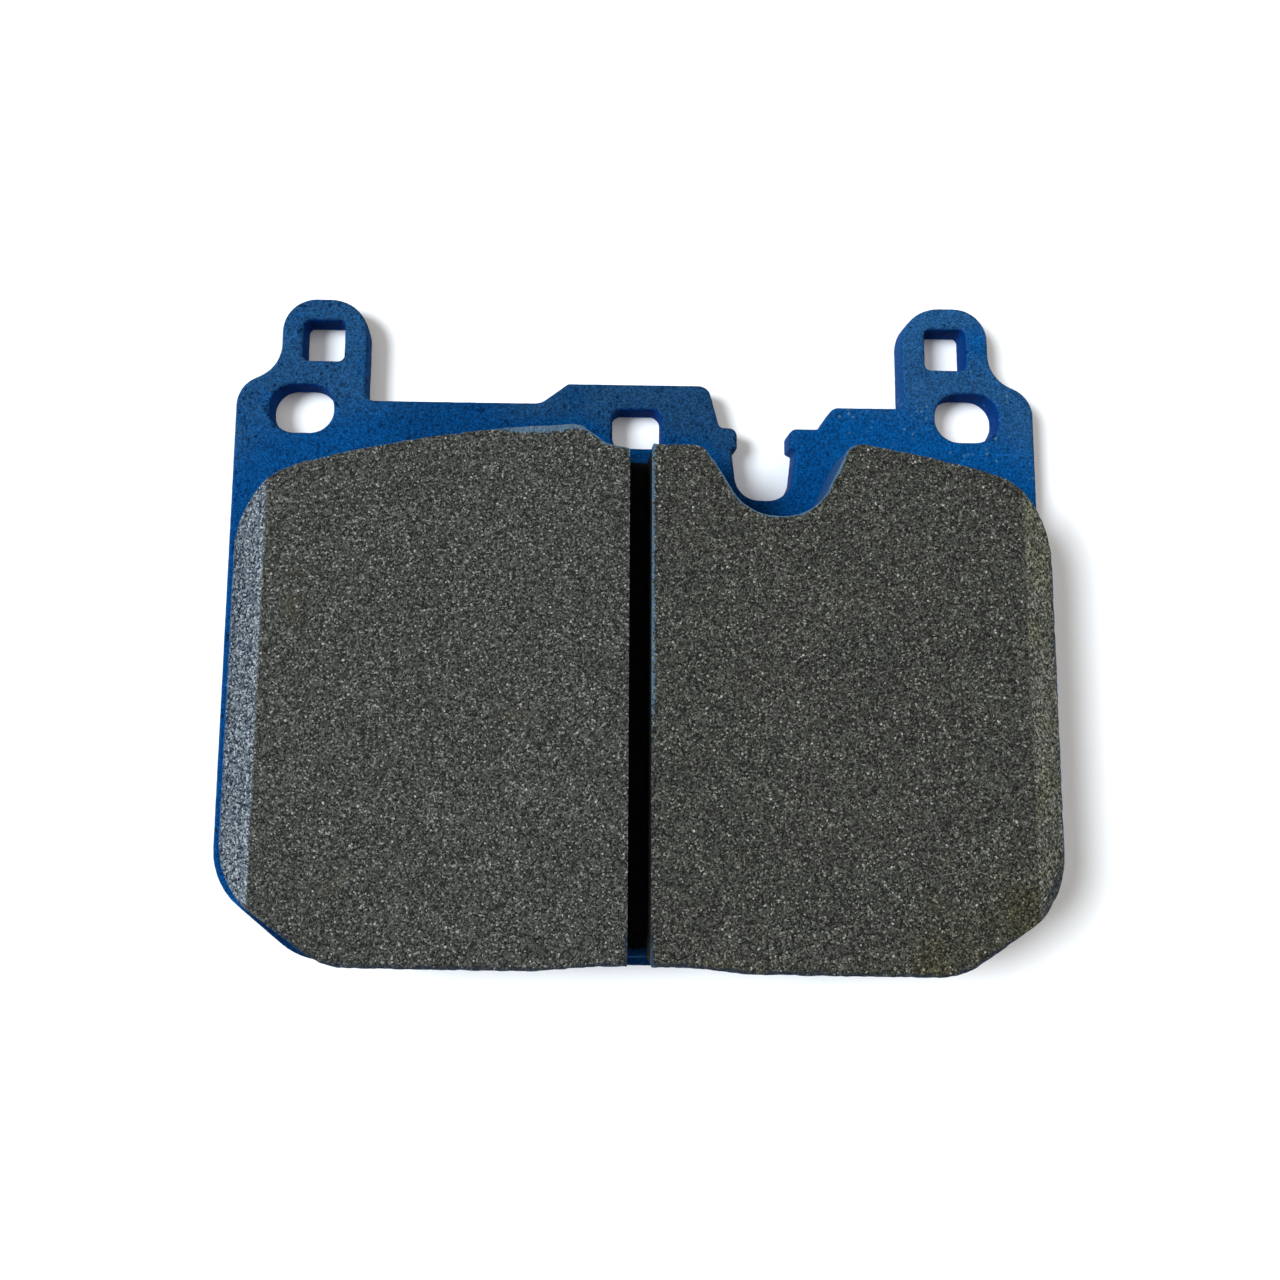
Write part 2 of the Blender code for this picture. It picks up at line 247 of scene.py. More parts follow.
def run_along(loop):
    """Distance of each point along its outline."""
    steps = np.linalg.norm(np.roll(loop, -1, axis=0) - loop, axis=1)
    return np.concatenate(([0.0], np.cumsum(steps)[:-1]))


def inside(points, loop):
    """Which points lie within an outline."""
    result = np.zeros(len(points), dtype=bool)
    x, y = points[:, 0], points[:, 1]
    for here, ahead in zip(loop, np.roll(loop, -1, axis=0)):
        crosses = (here[1] > y) != (ahead[1] > y)
        if here[1] != ahead[1]:
            at = here[0] + (y - here[1]) * (ahead[0] - here[0]) / (ahead[1] - here[1])
            result ^= crosses & (x < at)
    return result


def distance_to(points, targets):
    """Distance from each point to the nearest target."""
    nearest = []
    for part in np.array_split(points, max(1, len(points) // 2000)):
        apart = part[:, None, :] - targets[None, :, :]
        nearest.append(np.sqrt((apart**2).sum(axis=2).min(axis=1)))
    return np.concatenate(nearest)


# ---------------------------------------------------------------- seeded roughness
def noise(spots, size, seed):
    """Smooth noise from 0 to 1 over a plane, with bumps of the given size."""
    lattice = np.random.default_rng(seed).random((NOISE_LATTICE, NOISE_LATTICE))
    scaled = spots / size + NOISE_LATTICE / 2
    cell = np.floor(scaled).astype(int)
    part = scaled - cell
    part = part * part * (3.0 - 2.0 * part)
    x0, y0 = (cell % NOISE_LATTICE).T
    x1, y1 = ((cell + 1) % NOISE_LATTICE).T
    low = lattice[x0, y0] * (1 - part[:, 0]) + lattice[x1, y0] * part[:, 0]
    high = lattice[x0, y1] * (1 - part[:, 0]) + lattice[x1, y1] * part[:, 0]
    return low * (1 - part[:, 1]) + high * part[:, 1]


def ramp(value, start, end):
    """Eased step from 0 at start to 1 at end."""
    part = np.clip((value - start) / (end - start), 0.0, 1.0)
    return part * part * (3.0 - 2.0 * part)


# ---------------------------------------------------------------- meshes
def scattered(low, high, spacing, seed):
    """An uneven grid of points that fills a rectangle."""
    columns = np.arange(low[0], high[0], spacing)
    rows = np.arange(low[1], high[1], spacing * 0.87)
    grid = np.stack(np.meshgrid(columns, rows), axis=2)
    grid[1::2, :, 0] += spacing / 2
    points = grid.reshape(-1, 2)
    shake = np.random.default_rng(seed).random(points.shape) - 0.5
    return points + shake * spacing * 0.5


def filled(loops, points):
    """Triangles that fill the area between outlines and pass through the given inner points."""
    corners = [Vector(spot) for loop in loops for spot in loop] + [Vector(spot) for spot in points]
    edges, start = [], 0
    for loop in loops:
        count = len(loop)
        edges += [(start + i, start + (i + 1) % count) for i in range(count)]
        start += count
    spots, _, faces, *_ = delaunay_2d_cdt(corners, edges, [], 1, 1e-6, False)
    if len(spots) != len(corners):
        raise RuntimeError(f"an outline crosses itself or its points merged: {len(corners)} {len(spots)}")
    triangles = np.array(faces)
    flat = np.array([spot[:] for spot in spots])
    middles = flat[triangles].mean(axis=1)
    keep = inside(middles, loops[0])
    for hole in loops[1:]:
        keep &= ~inside(middles, hole)
    return triangles[keep]


def wall_faces(starts, count):
    """Quads between rings of vertices, each given by its first index, from the lowest ring up."""
    quads = []
    for low, high in zip(starts, starts[1:]):
        for i in range(count):
            j = (i + 1) % count
            quads.append((low + i, low + j, high + j, high + i))
    return quads


def make_piece(name, vertices, faces, attributes, material, node):
    """A smooth mesh object with per-vertex values, which stands for a CAD node."""
    mesh = bpy.data.meshes.new(name)
    mesh.from_pydata([tuple(vertex) for vertex in vertices * MM], [], faces)
    for label, values in attributes.items():
        layer = mesh.attributes.new(label, "FLOAT", "POINT")
        layer.data.foreach_set("value", np.asarray(values, dtype=np.float32))
    mesh.shade_smooth()
    mesh.set_sharp_from_angle(angle=math.radians(SHARP_ANGLE))
    mesh.materials.append(material)
    piece = bpy.data.objects.new(name, mesh)
    bpy.context.scene.collection.objects.link(piece)
    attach(piece, "root")
    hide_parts(node)


def raised(spots, heights):
    """Plane points, or distances along an outline, with a height each."""
    return np.column_stack((spots, np.broadcast_to(heights, len(spots))))


# ---------------------------------------------------------------- friction segments
def past_chamfer_line(spots):
    """How far each point lies beyond the inner line of the chamfer on its side."""
    return np.abs(spots[:, 0] - BLOCK_CENTRE_X) - (BLOCK_HALF_WIDTH - CHAMFER_WIDTH)


def face_height(spots):
    """Height of the ground face, with a sloping chamfer at each end of the pad."""
    return FACE_Z - np.clip(past_chamfer_line(spots), 0.0, None) * CHAMFER_DEPTH / CHAMFER_WIDTH


def across_chamfer(spots):
    """0 on the level face, then from 0 at a chamfer's inner line to 1 at its outer edge."""
    return np.clip(past_chamfer_line(spots) / CHAMFER_WIDTH, 0.0, 1.0)


def on_chamfer(spots):
    return ramp(across_chamfer(spots) * CHAMFER_WIDTH, 0.0, 0.3)


def grain_depth(spots):
    """How far the surface lies below the ground face between and inside the grains."""
    coarse = noise(spots, 0.9, 11)
    fine = noise(spots, 0.45, 12)
    pores = ramp(noise(spots, 0.7, 13), 0.78, 0.92)
    relief = GRAIN_RELIEF + (CHAMFER_RELIEF - GRAIN_RELIEF) * on_chamfer(spots)
    return relief * (0.15 * coarse + 0.8 * fine + 1.0 * pores)


def right_of_slot(x):
    return (x > SLOT_RIGHT_X - 0.5) & (x < SLOT_RIGHT_X + 0.8)


def lip_and_highlight_strength(spots):
    """Where the paint's broken edge shows along the face, drawn pale as a painted highlight where it catches
    light: most at the middle step and the pocket.
    """
    x, y = spots.T
    step = ramp(x, -24.0, -14.0) * ramp(y, 24.0, 27.0) * (x < SLOT_LEFT_X)
    pocket = ramp(x, 8.0, 14.0) * ramp(-x, -36.0, -31.0) * ramp(y, 12.0, 16.0)
    usual = np.clip(0.15 + 0.35 * ramp(y, 5.0, 20.0) + 0.7 * step + 0.5 * pocket, 0.0, 1.0)
    beside = 0.75 * np.maximum(ramp(y, -30.0, -10.0), 1.0 - ramp(y, -54.0, -48.0))
    left_of_slot = (x < SLOT_LEFT_X + 0.5) & (x > SLOT_LEFT_X - 0.8) & (y < SLOT_HIGH_Y - 2.0)
    return np.where(right_of_slot(x), beside, np.where(left_of_slot, 0.0, usual))


def lip_and_highlight_width(spots):
    """How far the broken paint edge and its painted highlight reach over the face."""
    x, y = spots.T
    step = ramp(x, -26.0, -18.0) * (1.0 - ramp(x, -13.0, -7.0)) * ramp(y, 24.0, 27.0)
    return 0.2 + 0.8 * step + 0.3 * right_of_slot(x)


def lower_right(spots):
    x, y = spots.T
    return ramp(x, 58.0, 66.0) * ramp(-y, 34.0, 42.0)


def rim_shade_strength(spots):
    """Painted shade on the paint rim: dark navy along the lower edge and round the lower right corner."""
    return np.maximum(ramp(-spots[:, 1], 46.0, 52.0), lower_right(spots))


def rim_shade_width(spots):
    """How far the painted shade on the rim reaches over the face."""
    return 0.5 + 1.1 * lower_right(spots)


def stain_strength(spots):
    """Olive brown stain along the sloping edge at the lower right corner."""
    x, y = spots.T
    beyond = ramp(0.56 * x - 0.83 * y, 62.0, 71.0)
    return 0.8 * beyond * (0.4 + 0.6 * ramp(noise(spots, 5.0, 14), 0.3, 0.6))


def make_segment(name, node, material, seed):
    wall_cut_z = (FRICTION_BASE_Z + FACE_Z) / 2 - WALL_CUT_BELOW_MIDDLE
    loop = evenly(section(node, wall_cut_z)[0], GRAIN_SPACING)
    step_in = inward(loop)
    along = run_along(loop)
    count = len(loop)
    crumble = RIM_CRUMBLE * ramp(noise(raised(along, 0.0), 1.3, seed), 0.35, 0.95)
    slot_wall = (np.abs(loop[:, 0] - SLOT_MIDDLE_X) < SLOT_WALL_REACH).astype(float)
    share = 1.0 - (1.0 - SLOT_RIM_SHARE) * slot_wall
    limit = room(loop)
    rim = loop + step_in * np.minimum((RIM_INSETS[0] + crumble) * share, limit)[:, None]
    rim_z = face_height(rim) - grain_depth(rim)
    inner = scattered(loop.min(axis=0), loop.max(axis=0), GRAIN_SPACING, seed + 1)
    inner = inner[inside(inner, rim)]
    inner = inner[distance_to(inner, rim) > RIM_CLEARANCE * GRAIN_SPACING]
    inner_z = face_height(inner) - grain_depth(inner)

    top_wall_z = rim_z - RIM_DROPS[-1]
    ring_count = math.ceil((FACE_Z - CHAMFER_DEPTH - FRICTION_BASE_Z) / WALL_RING_HEIGHT)
    rings = []
    for ring in range(ring_count):
        part = ring / ring_count
        height = FRICTION_BASE_Z * (1 - part) + top_wall_z * part
        spots = raised(along, height)
        rough = noise(spots, 1.1, seed + 2) * 0.6 + noise(spots, 0.6, seed + 3) * 0.4
        depth = WALL_ROUGHNESS * rough + (SEAM if ring == 0 else 0.0)
        rings.append(raised(loop + step_in * depth[:, None], height))
    for drop, inset in reversed(list(zip(RIM_DROPS[1:], RIM_INSETS[1:]))):
        height = rim_z - drop
        rough = WALL_ROUGHNESS * noise(raised(along, height), 0.9, seed + 2)
        depth = np.minimum((inset + rough + crumble * inset / RIM_INSETS[0]) * share, limit)
        rings.append(raised(loop + step_in * depth[:, None], height))
    rings.append(raised(rim, rim_z))

    vertices = np.concatenate(rings + [raised(inner, inner_z)])
    rim_start = (len(rings) - 1) * count
    top = filled([rim], inner) + rim_start
    bottom = filled([rings[0][:, :2]], np.empty((0, 2)))
    faces = wall_faces([ring * count for ring in range(len(rings))], count)
    faces += [tuple(face) for face in top] + [tuple(face[::-1]) for face in bottom]

    on_face = np.concatenate((rim, inner))
    from_edge = distance_to(on_face, rim)
    # the broken paint edge along the face, with a painted highlight
    lip_and_highlight = np.where(from_edge < lip_and_highlight_width(on_face), lip_and_highlight_strength(on_face), 0.0)
    # painted shade on the rim along the lower edge
    rim_shade = np.where(from_edge < rim_shade_width(on_face), rim_shade_strength(on_face), 0.0)
    wall_lip_and_highlight = np.zeros(rim_start)
    for ring in (1, 2):
        wall_lip_and_highlight[rim_start - ring * count : rim_start - (ring - 1) * count] = lip_and_highlight_strength(loop)
    no_wall, no_face = np.zeros(rim_start), np.zeros(len(on_face))
    attributes = {
        "paint": np.concatenate((np.ones(rim_start), no_face)),
        "slot": np.concatenate((np.tile(slot_wall, len(rings) - 1), no_face)),
        "lip_and_highlight": np.concatenate((wall_lip_and_highlight, lip_and_highlight)),
        "chamfer": np.concatenate((no_wall, on_chamfer(on_face))),
        "across": np.concatenate((no_wall, across_chamfer(on_face))),
        "right": np.full(len(vertices), float(node == "friction_segment_right")),
        "stain": np.concatenate((no_wall, stain_strength(on_face))),
        "rim_shade": np.concatenate((no_wall, rim_shade)),
    }
    make_piece(name, vertices, faces, attributes, material, node)


# ---------------------------------------------------------------- underlayer
def make_underlayer(material):
    """The layer between plate and friction material, with the plugs it presses into the plate."""
    loop = evenly(section("underlayer", LAYER_MIDDLE_Z)[0], LAYER_EDGE_SPACING)
    plugs = section("underlayer", PLATE_TOP_Z / 2)
    step_in = inward(loop)
    along = run_along(loop)
    limit = room(loop)
    count = len(loop)
    rings = []
    for height, inset in LAYER_PROFILE:
        rough = LAYER_ROUGHNESS * noise(raised(along, height), 1.0, 31)
        depth = np.minimum(inset + rough, limit)
        rings.append(raised(loop + step_in * depth[:, None], height))
    rim = rings[-1][:, :2]
    low, high = (SLOT_LEFT_X - 1.0, SLOT_LOW_Y), (SLOT_RIGHT_X + 1.0, SLOT_HIGH_Y + 2.0)
    inner = scattered(low, high, LAYER_FACE_SPACING, 32)
    inner = inner[inside(inner, rim)]
    inner = inner[distance_to(inner, rim) > LAYER_RIM_CLEARANCE]
    inner_z = LAYER_HIGH_Z - LAYER_ROUGHNESS * noise(inner, 0.9, 33)
    inner_z -= LAYER_FINE_ROUGHNESS * noise(inner, 0.5, 34)
    vertices = np.concatenate(rings + [raised(inner, inner_z)])
    faces = wall_faces([ring * count for ring in range(len(rings))], count)
    faces += [tuple(face) for face in filled([rim], inner) + (len(rings) - 1) * count]
    faces += [tuple(face[::-1]) for face in filled([rings[0][:, :2]], np.empty((0, 2)))]
    side = np.ones(len(rings) * count)
    from_top, from_bottom = SLOT_HIGH_Y - inner[:, 1], inner[:, 1] - SLOT_LOW_Y
    spray = 1.0 - ramp(from_top, -0.2, 1.2) * ramp(from_bottom, 0.3, 2.6)
    paint = np.concatenate((side, spray))

    parts, base = [vertices], len(vertices)
    for plug in plugs:
        plug = plug if signed_area(plug) > 0 else plug[::-1]
        out = inward(plug)
        circle = len(plug)
        for height, grow in PLUG_PROFILE:
            parts.append(raised(plug - out * grow, height))
        parts.append(np.array([[*plug.mean(axis=0), PLUG_TIP_Z]]))
        top, middle, low, tip = base, base + circle, base + 2 * circle, base + 3 * circle
        faces += wall_faces([low, middle, top], circle)
        faces += [(tip, low + (i + 1) % circle, low + i) for i in range(circle)]
        faces.append(tuple(top + i for i in range(circle)))
        base = tip + 1
    vertices = np.concatenate(parts)
    paint = np.concatenate((paint, np.zeros(len(vertices) - len(paint))))
    attributes = {"paint": paint}
    make_piece("pad_underlayer", vertices, faces, attributes, material, "underlayer")


# ---------------------------------------------------------------- backing plate
def make_plate(material):
    cut = section("backing_plate", PLATE_TOP_Z / 2)
    outlines = [divided(loop, PLATE_EDGE_SPACING) for loop in cut]
    block = section("underlayer", LAYER_MIDDLE_Z)[0]
    parts, faces, tops, bottoms, base = [], [], [], [], 0
    for number, loop in enumerate(outlines):
        step_in, along, count = inward(loop), run_along(loop), len(loop)
        limit = room(loop)
        for height, inset in PLATE_PROFILE:
            spots = raised(along, height * 0.25)
            rough = SHEAR_MARKS * noise(spots + 37.0 * number, 0.8, 41)
            depth = np.minimum(inset + rough, limit)
            parts.append(raised(loop + step_in * depth[:, None], height))
        starts = [base + ring * count for ring in range(len(PLATE_PROFILE))]
        faces += wall_faces(starts, count)
        bottoms.append((starts[0], parts[-len(PLATE_PROFILE)][:, :2]))
        tops.append((starts[-1], parts[-1][:, :2]))
        base += count * len(PLATE_PROFILE)

    top_loops = [loop for _, loop in tops]
    low, high = top_loops[0].min(axis=0), top_loops[0].max(axis=0)
    fine = scattered(low, high, PLATE_FACE_SPACING, 42)
    block_points = divided(block, 1.0)
    covered = inside(fine, block) & (distance_to(fine, block_points) > PLATE_HIDDEN_MARGIN)
    coarse = scattered(low, high, PLATE_HIDDEN_SPACING, 43)
    coarse = coarse[inside(coarse, block) & (distance_to(coarse, block_points) > PLATE_HIDDEN_MARGIN)]
    inner = np.concatenate((fine[~covered], coarse))
    keep = inside(inner, top_loops[0])
    for hole in top_loops[1:]:
        keep &= ~inside(inner, hole)
    inner = inner[keep]
    inner = inner[distance_to(inner, np.concatenate(top_loops)) > RIM_CLEARANCE * PLATE_FACE_SPACING]
    peel = ORANGE_PEEL * (0.6 * noise(inner, 1.6, 44) + 0.4 * noise(inner, 0.8, 45))
    pits = PIT_DEPTH * ramp(noise(inner, 0.75, 46), 0.84, 0.95)
    parts.append(raised(inner, PLATE_TOP_Z - peel - pits))
    vertices = np.concatenate(parts)

    top_map = np.concatenate([np.arange(len(loop)) + start for start, loop in tops])
    top_map = np.concatenate((top_map, np.arange(len(inner)) + base))
    bottom_map = np.concatenate([np.arange(len(loop)) + start for start, loop in bottoms])
    faces += [tuple(face) for face in top_map[filled(top_loops, inner)]]
    bottom_loops = [loop for _, loop in bottoms]
    faces += [tuple(face[::-1]) for face in bottom_map[filled(bottom_loops, np.empty((0, 2)))]]

    apart = distance_to(vertices[:, :2], block_points)
    apart[inside(vertices[:, :2], block)] = 0.0
    side = np.zeros(len(vertices))
    side[:base] = 1.0
    side[: len(outlines[0]) * len(PLATE_PROFILE)] = 0.5
    side[vertices[:, 2] > PLATE_TOP_Z - 0.3] = 0.0
    x, y = vertices[:, 0], vertices[:, 1]
    middle = ramp(x, -48.0, -38.0) * (1.0 - ramp(x, 18.0, 30.0))
    hole_edge = distance_to(vertices[:, :2], np.concatenate(outlines[1:]))
    upper_right = ramp(x, 40.0, 50.0) * ramp(y, 46.0, 52.0)
    off_block = ramp(apart, 3.0, 7.0)
    attributes = {
        # greyer paint further from the friction block: partly a dusty film, partly a painted sheen of the
        # surround, which the block hides near it
        "dust_and_sheen": ramp(apart, 6.0, 16.0) + 0.9 * middle * ramp(x, -28.0, -18.0) * off_block,
        # painted light and shade: the paint is darker across the middle of the plate and brighter towards
        # the right and the upper right, as the light falls on it
        "shade": 1.0 - 0.26 * middle + 0.1 * ramp(x, 28.0, 42.0) + 0.12 * upper_right,
        # the paint turns towards navy along the lower edge at the left
        "darkened_lower_edge": ramp(-y, 46.0, 51.0) * ramp(x, -66.0, -62.0),
        "side": side,
        "pitted": 0.35 + 0.65 * (1.0 - ramp(x, 15.0, 40.0)) + 0.5 * (1.0 - ramp(hole_edge, 0.6, 2.2)),
        "rubbed": ramp(x, 28.0, 36.0) * off_block * (1.0 - ramp(y, 42.0, 48.0)),
    }
    make_piece("painted_plate", vertices, faces, attributes, material, "backing_plate")


# ---------------------------------------------------------------- materials
class Nodes:
    """Adds and joins the nodes of one material. Positions are object coordinates in millimetres."""

    def __init__(self, name):
        self.material = bpy.data.materials.new(name)
        self.material.use_nodes = True
        self.tree = self.material.node_tree
        self.shader = self.tree.nodes["Principled BSDF"]
        self.position = self.scaled(self.add("ShaderNodeTexCoord").outputs["Object"], (1 / MM,) * 3)

    def add(self, kind, **settings):
        made = self.tree.nodes.new(kind)
        for key, value in settings.items():
            setattr(made, key, value)
        return made

    def join(self, value, socket):
        if isinstance(value, bpy.types.NodeSocket):
            self.tree.links.new(value, socket)
        else:
            socket.default_value = value

    def scaled(self, vector, scale):
        mapping = self.add("ShaderNodeMapping", vector_type="POINT")
        self.join(vector, mapping.inputs["Vector"])
        mapping.inputs["Scale"].default_value = scale
        return mapping.outputs["Vector"]

    def attribute(self, name):
        return self.add("ShaderNodeAttribute", attribute_name=name).outputs["Fac"]

    def math(self, operation, first, second=0.0, clamp=False):
        made = self.add("ShaderNodeMath", operation=operation, use_clamp=clamp)
        self.join(first, made.inputs[0])
        self.join(second, made.inputs[1])
        return made.outputs[0]

    def noise(self, size, detail=2.0, vector=None, roughness=0.5):
        made = self.add("ShaderNodeTexNoise")
        self.join(vector or self.position, made.inputs["Vector"])
        made.inputs["Scale"].default_value = 1.0 / size
        made.inputs["Detail"].default_value = detail
        made.inputs["Roughness"].default_value = roughness
        return made.outputs["Fac"]

    def cells(self, size, vector):
        """A cell pattern: the distance from each cell's middle and two random values for each cell."""
        made = self.add("ShaderNodeTexVoronoi", feature="F1")
        self.join(vector, made.inputs["Vector"])
        made.inputs["Scale"].default_value = 1.0 / size
        chance = self.add("ShaderNodeSeparateColor")
        self.join(made.outputs["Color"], chance.inputs["Color"])
        return made.outputs["Distance"], chance.outputs["Red"], chance.outputs["Green"]

    def step(self, value, start, end, top=1.0):
        """0 below start and the top value above end, or the other way round where end is the lower."""
        made = self.add("ShaderNodeMapRange", interpolation_type="SMOOTHSTEP")
        self.join(value, made.inputs["Value"])
        made.inputs["From Min"].default_value = start
        made.inputs["From Max"].default_value = end
        made.inputs["To Max"].default_value = top
        return made.outputs["Result"]

    def tones(self, value, *stops):
        """A colour ramp of (position, grey or colour) stops."""
        made = self.add("ShaderNodeValToRGB")
        band = made.color_ramp
        while len(band.elements) < len(stops):
            band.elements.new(0.5)
        for element, (position, colour) in zip(band.elements, stops):
            element.position = position
            element.color = (*(colour if isinstance(colour, tuple) else (colour,) * 3), 1.0)
        self.join(value, made.inputs["Fac"])
        return made.outputs["Color"]

    def mix(self, factor, first, second, blend="MIX"):
        made = self.add("ShaderNodeMix", data_type="RGBA", blend_type=blend)
        self.join(factor, made.inputs["Factor"])
        for colour, name in ((first, "A_Color"), (second, "B_Color")):
            socket = next(s for s in made.inputs if s.identifier == name)
            self.join((*colour, 1.0) if isinstance(colour, tuple) else colour, socket)
        return next(s for s in made.outputs if s.identifier == "Result_Color")

    def shaken(self, size, amount):
        """The position moved about by noise, which breaks up regular cells."""
        made = self.add("ShaderNodeTexNoise")
        self.join(self.position, made.inputs["Vector"])
        made.inputs["Scale"].default_value = 1.0 / size
        made.inputs["Detail"].default_value = 1.0
        away = self.add("ShaderNodeVectorMath", operation="SUBTRACT")
        self.join(made.outputs["Color"], away.inputs[0])
        away.inputs[1].default_value = (0.5, 0.5, 0.5)
        scaled = self.add("ShaderNodeVectorMath", operation="SCALE")
        self.join(away.outputs["Vector"], scaled.inputs[0])
        scaled.inputs["Scale"].default_value = 2.0 * amount
        added = self.add("ShaderNodeVectorMath", operation="ADD")
        self.join(self.position, added.inputs[0])
        self.join(scaled.outputs["Vector"], added.inputs[1])
        return added.outputs["Vector"]

    def bump(self, height, distance, strength=1.0):
        made = self.add("ShaderNodeBump")
        made.inputs["Strength"].default_value = strength
        made.inputs["Distance"].default_value = distance * MM
        self.join(height, made.inputs["Height"])
        return made.outputs["Normal"]

    def finish(self, colour, roughness, normal, specular):
        self.join(colour, self.shader.inputs["Base Color"])
        self.join(roughness, self.shader.inputs["Roughness"])
        self.shader.inputs["Specular IOR Level"].default_value = specular
        self.join(normal, self.shader.inputs["Normal"])
        return self.material


# Colours, linear RGB.
DEEP_BLUE = (0.0008, 0.047, 0.165)
# greyed blue: on the plate a dusty film together with a painted sheen; on the friction walls a random mottle
GREYED_BLUE = (0.0115, 0.056, 0.142)
SIDE_BLUE = (0.0003, 0.033, 0.165)
PALE_SPECK = (0.055, 0.13, 0.22)
PIT_NAVY = (0.001, 0.010, 0.04)
# pale blue of the broken paint edge: partly the paint, partly a painted highlight
LIP_AND_HIGHLIGHT_BLUE = (0.070, 0.135, 0.205)
STAIN = (0.066, 0.055, 0.025)
FLECK = (0.36, 0.36, 0.33)
# painted shade: the paint rim in shade, dark navy
RIM_SHADE_NAVY = (0.005, 0.012, 0.026)
# the right segment is drawn darker and warmer than the left: painted shade and painted warm light from the
# right
LEFT_TINT, RIGHT_SHADE_WARM_TINT = (0.94, 0.95, 0.91), (0.83, 0.83, 0.75)
STAIN_TINT = (1.0, 0.9, 0.58)
GREEN_TINT = (0.95, 1.0, 0.66)
# slot walls: the sawn compound made near black, as painted shade of the deep narrow slot
SLOT_SHADE_BLACK, SLOT_SHADE_DARK = (0.001, 0.001, 0.0015), (0.006, 0.006, 0.007)
LAYER_BLACK, LAYER_DARK = (0.002, 0.002, 0.0025), (0.007, 0.007, 0.008)


def paint_material():
    nodes = Nodes("blue_coat")
    cloud = nodes.noise(9.0, 3.0)
    # greyer paint away from the block: dusty film and painted sheen
    dust_and_sheen = nodes.math("MULTIPLY", nodes.attribute("dust_and_sheen"), nodes.step(cloud, 0.15, 0.5))
    spread = nodes.math("MULTIPLY", nodes.math("SUBTRACT", nodes.noise(0.6, 4.0, roughness=0.75), 0.5), 2.4)
    spread = nodes.math("MULTIPLY", spread, nodes.math("ADD", dust_and_sheen, 0.05))
    dust_and_sheen = nodes.math("ADD", dust_and_sheen, spread, clamp=True)
    colour = nodes.mix(dust_and_sheen, DEEP_BLUE, GREYED_BLUE)
    mottle = nodes.noise(0.32, 3.0, roughness=0.72)
    uneven = nodes.tones(mottle, (0.3, 0.22), (0.5, 0.98), (0.7, 2.0))
    colour = nodes.mix(1.0, colour, uneven, "MULTIPLY")
    ridge = nodes.math("ABSOLUTE", nodes.math("SUBTRACT", nodes.noise(0.75, 2.0), 0.5))
    creased = nodes.step(nodes.noise(2.2, 2.0), 0.42, 0.62)
    crease = nodes.math("MULTIPLY", nodes.step(ridge, 0.03, 0.0), creased)
    colour = nodes.mix(nodes.math("MULTIPLY", crease, 0.45), colour, PIT_NAVY)
    # painted light and shade: darker across the middle, brighter towards the right
    colour = nodes.mix(1.0, colour, nodes.attribute("shade"), "MULTIPLY")
    colour = nodes.mix(nodes.attribute("side"), colour, SIDE_BLUE)

    reach, chance, _ = nodes.cells(0.8, nodes.shaken(0.6, 0.25))
    speck = nodes.math("MULTIPLY", nodes.step(reach, 0.46, 0.2), nodes.step(chance, 0.6, 0.8))
    patch = nodes.step(nodes.noise(4.0, 3.0), 0.45, 0.65)
    patch = nodes.math("MULTIPLY", patch, nodes.attribute("rubbed"))
    patch = nodes.math("ADD", patch, nodes.math("MULTIPLY", nodes.attribute("dust_and_sheen"), 0.12))
    colour = nodes.mix(nodes.math("MULTIPLY", speck, patch), colour, PALE_SPECK)

    pit_reach, pit_chance, pit_size = nodes.cells(1.0, nodes.shaken(0.6, 0.22))
    edge = nodes.math("ADD", nodes.math("MULTIPLY", pit_size, 0.2), 0.2)
    pit = nodes.math("SUBTRACT", edge, pit_reach)
    pit = nodes.math("MULTIPLY", nodes.step(pit, -0.07, 0.1), nodes.step(pit_chance, 0.42, 0.5))
    small_reach, small_chance, _ = nodes.cells(0.55, nodes.shaken(0.5, 0.15))
    small = nodes.math("MULTIPLY", nodes.step(small_reach, 0.42, 0.2), nodes.step(small_chance, 0.66, 0.74))
    pit = nodes.math("MAXIMUM", pit, nodes.math("MULTIPLY", small, 0.7))
    pit = nodes.math("MULTIPLY", pit, nodes.step(nodes.noise(4.0, 3.0), 0.3, 0.62))
    pit = nodes.math("MULTIPLY", pit, nodes.attribute("pitted"), clamp=True)
    colour = nodes.mix(nodes.math("MULTIPLY", pit, 0.85), colour, PIT_NAVY)
    # darker, towards navy, along the lower edge at the left
    darkened_lower_edge = nodes.math("MULTIPLY", nodes.attribute("darkened_lower_edge"), nodes.step(nodes.noise(0.9, 3.0), 0.2, 0.5))
    colour = nodes.mix(nodes.math("MULTIPLY", darkened_lower_edge, 0.85), colour, PIT_NAVY)

    height = nodes.math("SUBTRACT", nodes.noise(0.42, 3.0, roughness=0.65), nodes.math("MULTIPLY", pit, 0.6))
    normal = nodes.bump(height, 0.17, 1.0)
    roughness = nodes.math("ADD", nodes.math("MULTIPLY", dust_and_sheen, 0.2), 0.5)
    return nodes.finish(colour, roughness, normal, specular=0.015)


